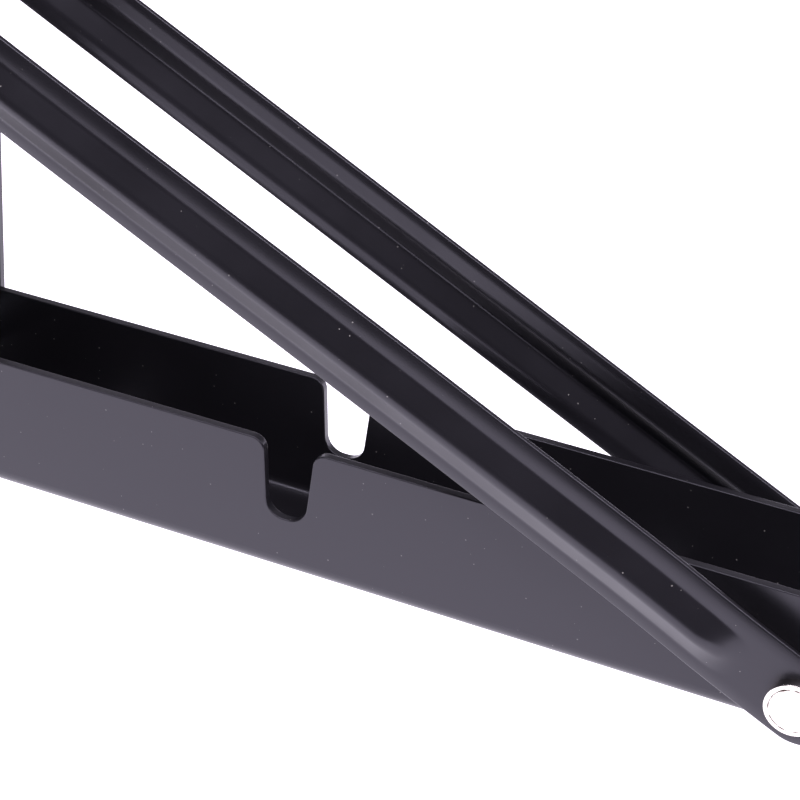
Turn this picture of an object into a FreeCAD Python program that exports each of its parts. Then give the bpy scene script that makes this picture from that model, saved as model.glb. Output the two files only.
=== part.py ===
import FreeCAD, Part
import math
import os

# Folding bracket for a drop leaf, in millimetres, standing open on the face that the leaf is screwed to.
# X runs along the shelf arm away from the hinge, Y across the bracket, Z up from the leaf's face.
# The hinge axis is at X = 0 and the bracket is symmetrical about Y = 0.

# Sheet metal
SHEET = 2.0
BEND_INNER = 2.0
EDGE_ROUND = 0.3
SHARP_ANGLE = 25.0
FULL_ROUND = 0.999
FLOOR_ROUND = 0.95
SAME_POINT = 1e-6

# Linkage: where the three pivots are with the bracket open
HINGE_HEIGHT = 17.9
PIVOT_REACH = 95.5
SLIDE_HEIGHT = 11.7
SLIDE_START = 206.3

# Shelf arm, the long channel that the leaf is screwed to
ARM_WIDTH = 30.4
ARM_HEIGHT = 31.2
ARM_FREE_END = 17.0
ARM_END_ROUND = 10.0
NOTCH_WIDTH = 10.1
NOTCH_FLARE = 4.5
NOTCH_LIP_ROUND = 3.0
NOTCH_CLEARANCE = 0.6
SLOT_CLEARANCE = 0.15

# Wall arm, the short channel that closes over the shelf arm like a lid
ARM_GAP = 0.5
FOLD_GAP = 1.6
WALL_FRONT = 7.0
WALL_TOE = 15.5
WALL_TOP = 17.5
WALL_TOP_ROUND = 12.0

# Brace strips, one on each side, with a pressed rib along the middle
STRIP_WIDTH = 17.6
ROLL_ANGLE = 14.0
OUTER_ROLL = 1.96
OUTER_ROLL_RADIUS = 14.0
INNER_ROLL = 1.2
INNER_ROLL_RADIUS = 6.0
RIB_WIDTH = 11.2
RIB_DROP = 0.6
RIB_WALL_ANGLE = 30.0
RIB_CROWN_RADIUS = 3.0
RIB_BASE_RADIUS = 0.8
RIB_END_MARGIN = 13.2
RIB_BLEND = 0.08

# Rivets, sleeves and washers
HEAD_RADIUS = 6.3
HEAD_HEIGHT = 2.0
HEAD_ROUND = 0.9
SHANK_RADIUS = 3.0
PIVOT_SHANK_RADIUS = 2.5
PIVOT_SLEEVE_RADIUS = 3.7
HINGE_SLEEVE_RADIUS = 4.5
SLIDE_SLEEVE_RADIUS = 4.5
WASHER = 2.0
WASHER_RADIUS = 7.0
COLLAR_RADIUS = 5.5
RUNNING_GAP = 0.05
SIDE_GAP = 0.3

# Latch, a leaf spring riveted inside the shelf arm behind the sliding pin
LATCH_SHEET = 1.0
LATCH_WIDTH = 14.0
LATCH_LIP = 3.6
LATCH_GAP = 0.3
LATCH_RAMP = 45.0
LATCH_BASE = 26.0
LATCH_BEND = 5.0
LATCH_LIP_BEND = 1.4
LATCH_CORNER = 3.0
LATCH_RIVET_RADIUS = 1.6
LATCH_RIVET_HEAD = 3.0
LATCH_RIVET_HEIGHT = 1.2
LATCH_RIVET_CHAMFER = 0.6
LATCH_RIVET_PITCH = 13.0
LATCH_RIVET_SINK = 0.2

# Screw holes
SCREW_RADIUS = 2.75
LEAF_HOLE_FIRST = 34.0
LEAF_HOLE_PITCH = 132.0
LEAF_HOLE_COUNT = 3
WALL_HOLE_FIRST = 24.0
WALL_HOLE_PITCH = 27.0
WALL_HOLE_COUNT = 3

# Sizes that follow from the ones above
BEND_OUTER = BEND_INNER + SHEET
ARM_SIDE = ARM_WIDTH / 2
ARM_INSIDE = ARM_SIDE - SHEET
RIM_ABOVE_HINGE = ARM_HEIGHT - HINGE_HEIGHT
WALL_INSIDE = ARM_SIDE + ARM_GAP
WALL_SIDE = WALL_INSIDE + SHEET
WALL_BACK = RIM_ABOVE_HINGE + FOLD_GAP + SHEET
STRIP_INSIDE = WALL_SIDE + WASHER
STRIP_SIDE = STRIP_INSIDE + SHEET
PIVOT_HEIGHT = HINGE_HEIGHT + PIVOT_REACH
BRACE_LENGTH = math.hypot(SLIDE_START, PIVOT_HEIGHT - SLIDE_HEIGHT)
BRACE_ANGLE = math.degrees(math.atan2(PIVOT_HEIGHT - SLIDE_HEIGHT, SLIDE_START))
SLIDE_FOLDED = PIVOT_REACH + math.sqrt(BRACE_LENGTH ** 2 - (HINGE_HEIGHT - SLIDE_HEIGHT) ** 2)
ARM_END = SLIDE_FOLDED + ARM_FREE_END
SLOT_RADIUS = SHANK_RADIUS + SLOT_CLEARANCE
LATCH_FRONT = SLIDE_START + SLIDE_SLEEVE_RADIUS + LATCH_GAP
LATCH_FOOT = LATCH_FRONT + LATCH_RAMP
LATCH_LIP_TOP = SLIDE_HEIGHT + LATCH_SHEET
LATCH_LIP_BOTTOM = LATCH_LIP_TOP - LATCH_LIP
LATCH_RIVET_FIRST = LATCH_FOOT + (LATCH_BASE - LATCH_RIVET_PITCH) / 2

X_AXIS = FreeCAD.Vector(1, 0, 0)
Y_AXIS = FreeCAD.Vector(0, 1, 0)
Z_AXIS = FreeCAD.Vector(0, 0, 1)


def in_xz(u, v):
    """A point of a side view."""
    return FreeCAD.Vector(u, 0, v)


def in_yz(u, v):
    """A point of a section across the shelf arm."""
    return FreeCAD.Vector(0, u, v)


def in_xy(u, v):
    """A point of a section across the wall arm."""
    return FreeCAD.Vector(u, v, 0)


def rounded_face(corners, place):
    """A flat face whose corners are (u, v, radius), rounded by tangent arcs where the radius isn't 0."""
    arrivals, departures, arcs = [], [], []
    for index, (u, v, radius) in enumerate(corners):
        point = place(u, v)
        before = place(*corners[index - 1][:2]) - point
        after = place(*corners[(index + 1) % len(corners)][:2]) - point
        before.normalize()
        after.normalize()
        half = before.getAngle(after) / 2
        reach = radius / math.tan(half)
        arrivals.append(point + before * reach)
        departures.append(point + after * reach)
        if radius:
            inward = before + after
            inward.normalize()
            middle = point + inward * (radius / math.sin(half) - radius)
            arcs.append(Part.Arc(arrivals[-1], middle, departures[-1]).toShape())
        else:
            arcs.append(None)
    edges = []
    for index, arc in enumerate(arcs):
        if arc:
            edges.append(arc)
        start, end = departures[index], arrivals[(index + 1) % len(corners)]
        if start.distanceToPoint(end) > SAME_POINT:
            edges.append(Part.makeLine(start, end))
    return Part.Face(Part.Wire(edges))


def across(face, half_width):
    """A side view's face, made solid from -half_width to +half_width in Y."""
    return face.translated(Y_AXIS * -half_width).extrude(Y_AXIS * (2 * half_width))


def rod(radius, x, z, start, end):
    """A round bar along Y, centred on (x, z)."""
    return Part.makeCylinder(radius, end - start, FreeCAD.Vector(x, start, z), Y_AXIS)


def tube(outer, inner, x, z, start, end):
    """A round tube along Y, centred on (x, z)."""
    return rod(outer, x, z, start, end).cut(rod(inner, x, z, start, end))


def mirrored(shape):
    """The same piece on the other side of the bracket."""
    return shape.mirror(FreeCAD.Vector(0, 0, 0), Y_AXIS)


def turned_to_brace(shape):
    """A piece drawn along X from the brace pivot, brought to the brace's slope."""
    placed = shape.copy()
    placed.rotate(FreeCAD.Vector(0, 0, 0), Y_AXIS, BRACE_ANGLE)
    placed.translate(FreeCAD.Vector(0, 0, PIVOT_HEIGHT))
    return placed


def face_normal(face, point):
    """The outward normal of a face near a point."""
    return face.normalAt(*face.Surface.parameter(point))


def with_rounded_edges(shape, radius):
    """A sheet piece with every sharp edge of its outline rounded, as coated sheet has them."""
    sharp = []
    for edge in shape.Edges:
        point = edge.valueAt((edge.FirstParameter + edge.LastParameter) / 2)
        one, other = shape.ancestorsOfType(edge, Part.Face)[:2]
        if math.degrees(face_normal(one, point).getAngle(face_normal(other, point))) > SHARP_ANGLE:
            sharp.append(edge)
    return shape.makeFillet(radius, sharp)


def channel_section(outside, inside, back, rim, place):
    """A U section: two flanges from the back to the rim, bent up from a web at the back."""
    step = math.copysign(SHEET, rim - back)
    return rounded_face(
        [
            (rim, -outside, 0),
            (back, -outside, BEND_OUTER),
            (back, outside, BEND_OUTER),
            (rim, outside, 0),
            (rim, inside, 0),
            (back + step, inside, BEND_INNER),
            (back + step, -inside, BEND_INNER),
            (rim, -inside, 0),
        ],
        place,
    )


def notch_corners():
    """The open notch in the shelf arm's rim that takes the brace pivot when the bracket is folded."""
    bottom = HINGE_HEIGHT - PIVOT_SLEEVE_RADIUS - NOTCH_CLEARANCE
    spread = (ARM_HEIGHT - bottom) / 2 * math.tan(math.radians(NOTCH_FLARE))
    mouth = NOTCH_WIDTH / 2 + spread
    floor = NOTCH_WIDTH / 2 - spread
    floor_round = FLOOR_ROUND * floor
    return [
        (PIVOT_REACH + mouth, ARM_HEIGHT, NOTCH_LIP_ROUND),
        (PIVOT_REACH + floor, bottom, floor_round),
        (PIVOT_REACH - floor, bottom, floor_round),
        (PIVOT_REACH - mouth, ARM_HEIGHT, NOTCH_LIP_ROUND),
    ]


def leaf_hole_places():
    """Where the screws into the leaf go, along X."""
    return [LEAF_HOLE_FIRST + index * LEAF_HOLE_PITCH for index in range(LEAF_HOLE_COUNT)]


def wall_hole_places():
    """Where the screws into the wall go, along Z."""
    first = HINGE_HEIGHT + WALL_HOLE_FIRST
    return [first + index * WALL_HOLE_PITCH for index in range(WALL_HOLE_COUNT)]


def latch_rivet_places():
    """Where the latch is riveted down, along X."""
    return [LATCH_RIVET_FIRST, LATCH_RIVET_FIRST + LATCH_RIVET_PITCH]


def shelf_arm():
    """The long channel, with the notches, the slots for the sliding pin and the holes in its web."""
    section = channel_section(ARM_SIDE, ARM_INSIDE, 0, ARM_HEIGHT, lambda height, side: in_yz(side, height))
    channel = section.translated(X_AXIS * -RIM_ABOVE_HINGE).extrude(X_AXIS * (ARM_END + RIM_ABOVE_HINGE))
    outline = rounded_face(
        [
            (-RIM_ABOVE_HINGE, -SHEET, 0),
            (ARM_END, -SHEET, 0),
            (ARM_END, ARM_HEIGHT, ARM_END_ROUND),
            *notch_corners(),
            (-RIM_ABOVE_HINGE, ARM_HEIGHT, RIM_ABOVE_HINGE),
        ],
        in_xz,
    )
    arm = with_rounded_edges(channel.common(across(outline, ARM_WIDTH)), EDGE_ROUND)
    slot = rounded_face(
        [
            (SLIDE_START - SLOT_RADIUS, SLIDE_HEIGHT - SLOT_RADIUS, FULL_ROUND * SLOT_RADIUS),
            (SLIDE_FOLDED + SLOT_RADIUS, SLIDE_HEIGHT - SLOT_RADIUS, FULL_ROUND * SLOT_RADIUS),
            (SLIDE_FOLDED + SLOT_RADIUS, SLIDE_HEIGHT + SLOT_RADIUS, FULL_ROUND * SLOT_RADIUS),
            (SLIDE_START - SLOT_RADIUS, SLIDE_HEIGHT + SLOT_RADIUS, FULL_ROUND * SLOT_RADIUS),
        ],
        in_xz,
    )
    cuts = [across(slot, ARM_WIDTH), rod(SHANK_RADIUS, 0, HINGE_HEIGHT, -ARM_WIDTH, ARM_WIDTH)]
    for x in leaf_hole_places():
        cuts.append(Part.makeCylinder(SCREW_RADIUS, 2 * SHEET, FreeCAD.Vector(x, 0, -SHEET / 2)))
    for x in latch_rivet_places():
        cuts.append(Part.makeCylinder(LATCH_RIVET_RADIUS, 2 * SHEET, FreeCAD.Vector(x, 0, -SHEET / 2)))
    return arm.cut(cuts)


def wall_arm():
    """The short channel, open towards the shelf arm, with holes for its rivets and the wall screws."""
    bottom = HINGE_HEIGHT - WALL_TOE
    top = PIVOT_HEIGHT + WALL_TOP
    section = channel_section(WALL_SIDE, WALL_INSIDE, -WALL_BACK, WALL_FRONT, in_xy)
    channel = section.translated(Z_AXIS * bottom).extrude(Z_AXIS * (top - bottom))
    outline = rounded_face(
        [
            (-WALL_BACK - SHEET, bottom, 0),
            (WALL_FRONT, bottom, WALL_FRONT),
            (WALL_FRONT, top, WALL_TOP_ROUND),
            (-WALL_BACK - SHEET, top, 0),
        ],
        in_xz,
    )
    arm = with_rounded_edges(channel.common(across(outline, 2 * WALL_SIDE)), EDGE_ROUND)
    cuts = [
        rod(SHANK_RADIUS + RUNNING_GAP, 0, HINGE_HEIGHT, -2 * WALL_SIDE, 2 * WALL_SIDE),
        rod(PIVOT_SHANK_RADIUS, 0, PIVOT_HEIGHT, -2 * WALL_SIDE, 2 * WALL_SIDE),
    ]
    for z in wall_hole_places():
        start = FreeCAD.Vector(-WALL_BACK - SHEET / 2, 0, z)
        cuts.append(Part.makeCylinder(SCREW_RADIUS, 2 * SHEET, start, X_AXIS))
    return arm.cut(cuts)


def rib_half(depth):
    """Half of the rib's section at a depth below its outer skin.

    It is given as (across, out) at each end and middle of its curves.
    """
    angle = math.radians(RIB_WALL_ANGLE)
    base = RIB_BASE_RADIUS + depth
    crown = RIB_CROWN_RADIUS - depth
    half = RIB_WIDTH / 2
    curves = RIB_BASE_RADIUS + RIB_CROWN_RADIUS
    wall = (half - curves * math.sin(angle)) / math.cos(angle)
    crown_centre = curves * (1 - math.cos(angle)) + wall * math.sin(angle) - RIB_CROWN_RADIUS
    return {
        "foot": (half, -depth),
        "foot_middle": (half - base * math.sin(angle / 2), RIB_BASE_RADIUS - base * math.cos(angle / 2)),
        "wall_low": (half - base * math.sin(angle), RIB_BASE_RADIUS - base * math.cos(angle)),
        "wall_high": (crown * math.sin(angle), crown_centre + crown * math.cos(angle)),
        "crown_middle": (crown * math.sin(angle / 2), crown_centre + crown * math.cos(angle / 2)),
        "crown": (0, crown_centre + crown),
    }


def rib_solid(depth, start, end):
    """The rib's skin at a depth, filled: straight from start to end along X, with a round end at each."""

    def at(name, side, x=0):
        off, out = half[name]
        return FreeCAD.Vector(x, -(out - RIB_BLEND), side * off)

    def half_edges(side, x):
        return [
            Part.Arc(at("foot", side, x), at("foot_middle", side, x), at("wall_low", side, x)).toShape(),
            Part.makeLine(at("wall_low", side, x), at("wall_high", side, x)),
            Part.Arc(at("wall_high", side, x), at("crown_middle", side, x), at("crown", side, x)).toShape(),
        ]

    half = rib_half(depth)
    foot_line = Part.makeLine(at("foot", -1, start), at("foot", 1, start))
    whole = half_edges(1, start) + half_edges(-1, start) + [foot_line]
    run = Part.Face(Part.Wire(Part.__sortEdges__(whole))).extrude(X_AXIS * (end - start))
    ends = []
    for x, turn in ((start, 180), (end, -180)):
        foot_middle = FreeCAD.Vector(x, at("foot", 1).y, 0)
        closing = [
            Part.makeLine(at("crown", 1, x), foot_middle),
            Part.makeLine(foot_middle, at("foot", 1, x)),
        ]
        section = Part.Face(Part.Wire(Part.__sortEdges__(half_edges(1, x) + closing)))
        ends.append(section.revolve(foot_middle, Y_AXIS, -turn))
    return run.fuse(ends).removeSplitter().translated(Z_AXIS * -RIB_DROP)


def rolled_edge():
    """The strip's section at its upper edge: both faces fall away towards it, as a blanked edge does."""
    edge = STRIP_WIDTH / 2
    fall = math.tan(math.radians(ROLL_ANGLE))
    return [
        (0, edge - OUTER_ROLL, OUTER_ROLL_RADIUS),
        (OUTER_ROLL * fall, edge, EDGE_ROUND),
        (SHEET - INNER_ROLL * fall, edge, EDGE_ROUND),
        (SHEET, edge - INNER_ROLL, INNER_ROLL_RADIUS),
    ]


def strip_bar():
    """The strip before pressing: a bar along X with rolled edges and a round end about each of its pivots."""
    upper = rolled_edge()
    lower = [(out, -up, radius) for out, up, radius in reversed(upper)]
    bar = rounded_face(upper + lower, in_yz).extrude(X_AXIS * BRACE_LENGTH)
    half = rounded_face([(0, 0, 0), *upper, (SHEET, 0, 0)], in_yz)
    ends = [
        half.translated(X_AXIS * x).revolve(X_AXIS * x, Y_AXIS, turn)
        for x, turn in ((0, -180), (BRACE_LENGTH, 180))
    ]
    return bar.fuse(ends).removeSplitter()


def brace_strip():
    """The strip on the -Y side, with a rib pressed outwards a little below its middle."""
    first = RIB_END_MARGIN + RIB_WIDTH / 2
    last = BRACE_LENGTH - first
    strip = strip_bar().fuse(rib_solid(0, first, last)).cut(rib_solid(SHEET, first, last))
    strip = strip.cut([
        rod(PIVOT_SHANK_RADIUS + RUNNING_GAP, 0, 0, -SHEET, 2 * SHEET),
        rod(SHANK_RADIUS, BRACE_LENGTH, 0, -SHEET, 2 * SHEET),
    ])
    return turned_to_brace(strip.translated(Y_AXIS * -STRIP_SIDE))


def rivet_head(x, z, seat):
    """A flat head with a rounded edge on the -Y side, standing on the plane Y = -seat."""
    head = rod(HEAD_RADIUS, x, z, -seat - HEAD_HEIGHT, -seat)
    outer = [edge for edge in head.Edges if edge.BoundBox.YMax < -seat - HEAD_HEIGHT / 2]
    return head.makeFillet(HEAD_ROUND, outer)


def through_rivet(radius, x, z, seat):
    """A rivet right across the bracket, with a head on each side."""
    head = rivet_head(x, z, seat)
    return rod(radius, x, z, -seat, seat).fuse([head, mirrored(head)]).removeSplitter()


def slide_rivet():
    """The -Y end of the sliding pin: its head and the stub that carries the strip and the collar."""
    stub = rod(SHANK_RADIUS, SLIDE_START, SLIDE_HEIGHT, -STRIP_SIDE, -ARM_SIDE - SIDE_GAP)
    return stub.fuse(rivet_head(SLIDE_START, SLIDE_HEIGHT, STRIP_SIDE)).removeSplitter()


def slide_collar():
    """The spacer on the -Y stub, between the strip and the shelf arm."""
    bore = SHANK_RADIUS + RUNNING_GAP
    return tube(COLLAR_RADIUS, bore, SLIDE_START, SLIDE_HEIGHT, -STRIP_INSIDE, -ARM_SIDE - SIDE_GAP)


def pivot_washer():
    """The washer at the brace pivot, between the wall arm and the -Y strip."""
    bore = PIVOT_SHANK_RADIUS + RUNNING_GAP
    return tube(WASHER_RADIUS, bore, 0, PIVOT_HEIGHT, -STRIP_INSIDE + RUNNING_GAP, -WALL_SIDE)


def latch_spring():
    """The leaf spring: a base on the web, a ramp towards the hinge, and a lip behind the pin's sleeve."""
    rise = LATCH_LIP_BOTTOM - SHEET
    lean = LATCH_SHEET / math.cos(math.atan2(rise, LATCH_RAMP))
    back = LATCH_FOOT + LATCH_BASE
    outline = rounded_face(
        [
            (LATCH_FRONT, LATCH_LIP_BOTTOM, LATCH_LIP_BEND),
            (LATCH_FOOT, SHEET, LATCH_BEND + LATCH_SHEET),
            (back, SHEET, 0),
            (back, SHEET + LATCH_SHEET, 0),
            (LATCH_FOOT, SHEET + LATCH_SHEET, LATCH_BEND),
            (LATCH_FRONT + LATCH_SHEET, LATCH_LIP_BOTTOM + lean, LATCH_LIP_BEND - LATCH_SHEET),
            (LATCH_FRONT + LATCH_SHEET, LATCH_LIP_TOP, 0),
            (LATCH_FRONT, LATCH_LIP_TOP, 0),
        ],
        in_xz,
    )
    half = LATCH_WIDTH / 2
    plan = rounded_face(
        [
            (LATCH_FRONT - LATCH_SHEET, -half, 0),
            (back, -half, LATCH_CORNER),
            (back, half, LATCH_CORNER),
            (LATCH_FRONT - LATCH_SHEET, half, 0),
        ],
        in_xy,
    )
    spring = across(outline, half).common(plan.extrude(Z_AXIS * ARM_HEIGHT))
    holes = [
        Part.makeCylinder(LATCH_RIVET_RADIUS, ARM_HEIGHT, FreeCAD.Vector(x, 0, 0))
        for x in latch_rivet_places()
    ]
    return spring.cut(holes)


def latch_rivets():
    """The two small rivets of the latch, flush below the leaf's face."""
    seat = SHEET + LATCH_SHEET
    rivets = []
    for x in latch_rivet_places():
        foot = FreeCAD.Vector(x, 0, LATCH_RIVET_SINK)
        shank = Part.makeCylinder(LATCH_RIVET_RADIUS, seat - LATCH_RIVET_SINK, foot)
        head = Part.makeCylinder(LATCH_RIVET_HEAD, LATCH_RIVET_HEIGHT, FreeCAD.Vector(x, 0, seat))
        top = [edge for edge in head.Edges if edge.BoundBox.ZMin > seat + LATCH_RIVET_HEIGHT / 2]
        rivets.append(shank.fuse(head.makeChamfer(LATCH_RIVET_CHAMFER, top)).removeSplitter())
    return Part.makeCompound(rivets)


def build():
    """Every piece of the bracket, by name."""
    pivot_seat = STRIP_SIDE + RUNNING_GAP
    hinge_seat = WALL_SIDE + RUNNING_GAP
    slide_sleeve_end = ARM_INSIDE - SIDE_GAP
    pieces = {
        "shelf_arm": shelf_arm(),
        "wall_arm": wall_arm(),
        "hinge_rivet": through_rivet(SHANK_RADIUS, 0, HINGE_HEIGHT, hinge_seat),
        "hinge_sleeve": tube(
            HINGE_SLEEVE_RADIUS, SHANK_RADIUS + RUNNING_GAP, 0, HINGE_HEIGHT, -ARM_INSIDE, ARM_INSIDE
        ),
        "pivot_rivet": through_rivet(PIVOT_SHANK_RADIUS, 0, PIVOT_HEIGHT, pivot_seat),
        "pivot_sleeve": tube(
            PIVOT_SLEEVE_RADIUS, PIVOT_SHANK_RADIUS + RUNNING_GAP, 0, PIVOT_HEIGHT, -WALL_INSIDE, WALL_INSIDE
        ),
        "slide_pin": rod(
            SHANK_RADIUS, SLIDE_START, SLIDE_HEIGHT, -ARM_SIDE - SIDE_GAP / 2, ARM_SIDE + SIDE_GAP / 2
        ),
        "slide_sleeve": tube(
            SLIDE_SLEEVE_RADIUS,
            SHANK_RADIUS + RUNNING_GAP,
            SLIDE_START,
            SLIDE_HEIGHT,
            -slide_sleeve_end,
            slide_sleeve_end,
        ),
        "latch_spring": latch_spring(),
        "latch_rivets": latch_rivets(),
    }
    paired = {
        "brace_strip": brace_strip(),
        "slide_rivet": slide_rivet(),
        "slide_collar": slide_collar(),
        "pivot_washer": pivot_washer(),
    }
    for name, piece in paired.items():
        pieces[f"{name}_right"] = piece
        pieces[f"{name}_left"] = mirrored(piece)
    return pieces


os.makedirs("parts", exist_ok=True)
for node, shape in build().items():
    shape.exportStep(f"parts/{node}.step")
    print(node, len(shape.Solids), round(shape.Volume, 1), shape.isValid())
print("brace length", round(BRACE_LENGTH, 3), "slope", round(BRACE_ANGLE, 3))
print("pin slides from", SLIDE_START, "to", round(SLIDE_FOLDED, 3), "arm ends at", round(ARM_END, 3))
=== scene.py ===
"""Dresses a folding drop leaf bracket: black powder coat, nickel rivets, plated fittings, studio and camera.

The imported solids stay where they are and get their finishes. The brace strips and the rivets are made again
with finer forms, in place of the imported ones. Lengths are metres unless a name says mm.
"""

import logging
import math
from dataclasses import dataclass, field
from enum import Enum
from typing import Any, Mapping, Protocol, Sequence

import bmesh
import bpy
from mathutils import Matrix, Vector


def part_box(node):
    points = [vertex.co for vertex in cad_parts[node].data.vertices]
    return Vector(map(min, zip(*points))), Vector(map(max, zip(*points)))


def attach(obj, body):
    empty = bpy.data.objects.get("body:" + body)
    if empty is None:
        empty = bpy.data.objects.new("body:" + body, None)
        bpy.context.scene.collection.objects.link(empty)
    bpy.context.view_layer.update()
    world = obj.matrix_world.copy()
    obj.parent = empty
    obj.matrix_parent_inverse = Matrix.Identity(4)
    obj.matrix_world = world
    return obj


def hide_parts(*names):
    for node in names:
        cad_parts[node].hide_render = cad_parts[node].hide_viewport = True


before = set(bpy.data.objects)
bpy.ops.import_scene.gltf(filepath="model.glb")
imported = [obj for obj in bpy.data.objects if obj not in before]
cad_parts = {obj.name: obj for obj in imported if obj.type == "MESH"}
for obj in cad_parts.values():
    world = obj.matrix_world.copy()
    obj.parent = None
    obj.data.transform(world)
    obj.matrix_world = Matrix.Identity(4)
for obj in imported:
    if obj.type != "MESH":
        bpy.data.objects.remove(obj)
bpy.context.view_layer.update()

MM = 0.001
LOG = logging.getLogger("bracket")

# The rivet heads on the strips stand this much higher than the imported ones.
STRIP_HEAD_LIFT = 0.5 * MM
LATCH_RIVET_PITCH = 13.0 * MM

# A mix node's sockets for colours, which share their names with those for other kinds of value.
MIX_A = 6
MIX_B = 7
MIX_RESULT = 2


class Body(Enum):
    """The bodies that a piece can ride on."""

    SHELF_ARM = "shelf_arm"
    WALL_ARM = "wall_arm"
    BRACE = "brace"
    SLIDE_PIN = "slide_pin"


class Slot(Enum):
    """The record's material slots."""

    BLACK_COAT = "black_coat"
    NICKEL_RIVET = "nickel_rivet"
    ZINC_STEEL = "zinc_steel"
    SPRING_STEEL = "spring_steel"


Socket = bpy.types.NodeSocket
Finishes = Mapping[Slot, bpy.types.Material]


def linear(hex_colour: str) -> tuple[float, float, float, float]:
    """Turns an sRGB hex value into linear colour.

    Args:
        hex_colour: Six hex digits with a leading #.

    Returns:
        Linear red, green, blue and an alpha of 1.
    """
    channels = [int(hex_colour[place:place + 2], 16) / 255 for place in (1, 3, 5)]
    red, green, blue = [c / 12.92 if c <= 0.04045 else ((c + 0.055) / 1.055) ** 2.4 for c in channels]
    return red, green, blue, 1.0


def eased_turn(run: float, angle: float, radius: float) -> float:
    """The rise of a line that turns up at a rounded corner.

    Args:
        run: The distance past the corner.
        angle: How far the line turns, in radians.
        radius: The corner's radius.

    Returns:
        The rise there.
    """
    reach = radius * math.tan(angle / 2)
    if run <= -reach:
        return 0.0
    if run >= reach * math.cos(angle):
        return run * math.tan(angle)
    return radius - math.sqrt(radius ** 2 - (run + reach) ** 2)


def smooth(share: float) -> float:
    """Eases a share that runs from 0 to 1, and keeps it between them."""
    kept = min(max(share, 0.0), 1.0)
    return kept ** 2 * (3 - 2 * kept)


def per_mm(size_mm: float) -> float:
    """The texture scale that repeats once in a size given in millimetres."""
    return 1.0 / (size_mm * MM)


def add_node(
    tree: bpy.types.NodeTree,
    kind: str,
    settings: Mapping[str, Any] | None = None,
    inputs: Mapping[str | int, Any] | None = None,
) -> bpy.types.Node:
    """Adds a node with its settings, and sets or links its inputs.

    Args:
        tree: The node tree.
        kind: The node's type name.
        settings: Values of the node's own properties.
        inputs: A value for each input socket, or the output socket that is linked to it.

    Returns:
        The new node.
    """
    node = tree.nodes.new(kind)
    for name, value in (settings or {}).items():
        setattr(node, name, value)
    for name, value in (inputs or {}).items():
        if isinstance(value, Socket):
            tree.links.new(value, node.inputs[name])
        else:
            node.inputs[name].default_value = value
    return node


def new_material(name: str) -> tuple[bpy.types.Material, bpy.types.NodeTree]:
    """Makes an empty node material.

    Args:
        name: The material's name.

    Returns:
        The material and its cleared node tree.
    """
    material = bpy.data.materials.new(name)
    material.use_nodes = True
    material.node_tree.nodes.clear()
    return material, material.node_tree


class Finish(Protocol):
    """A finish that can make its material."""

    def material(self) -> bpy.types.Material:
        """The finish as a node material."""


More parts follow.
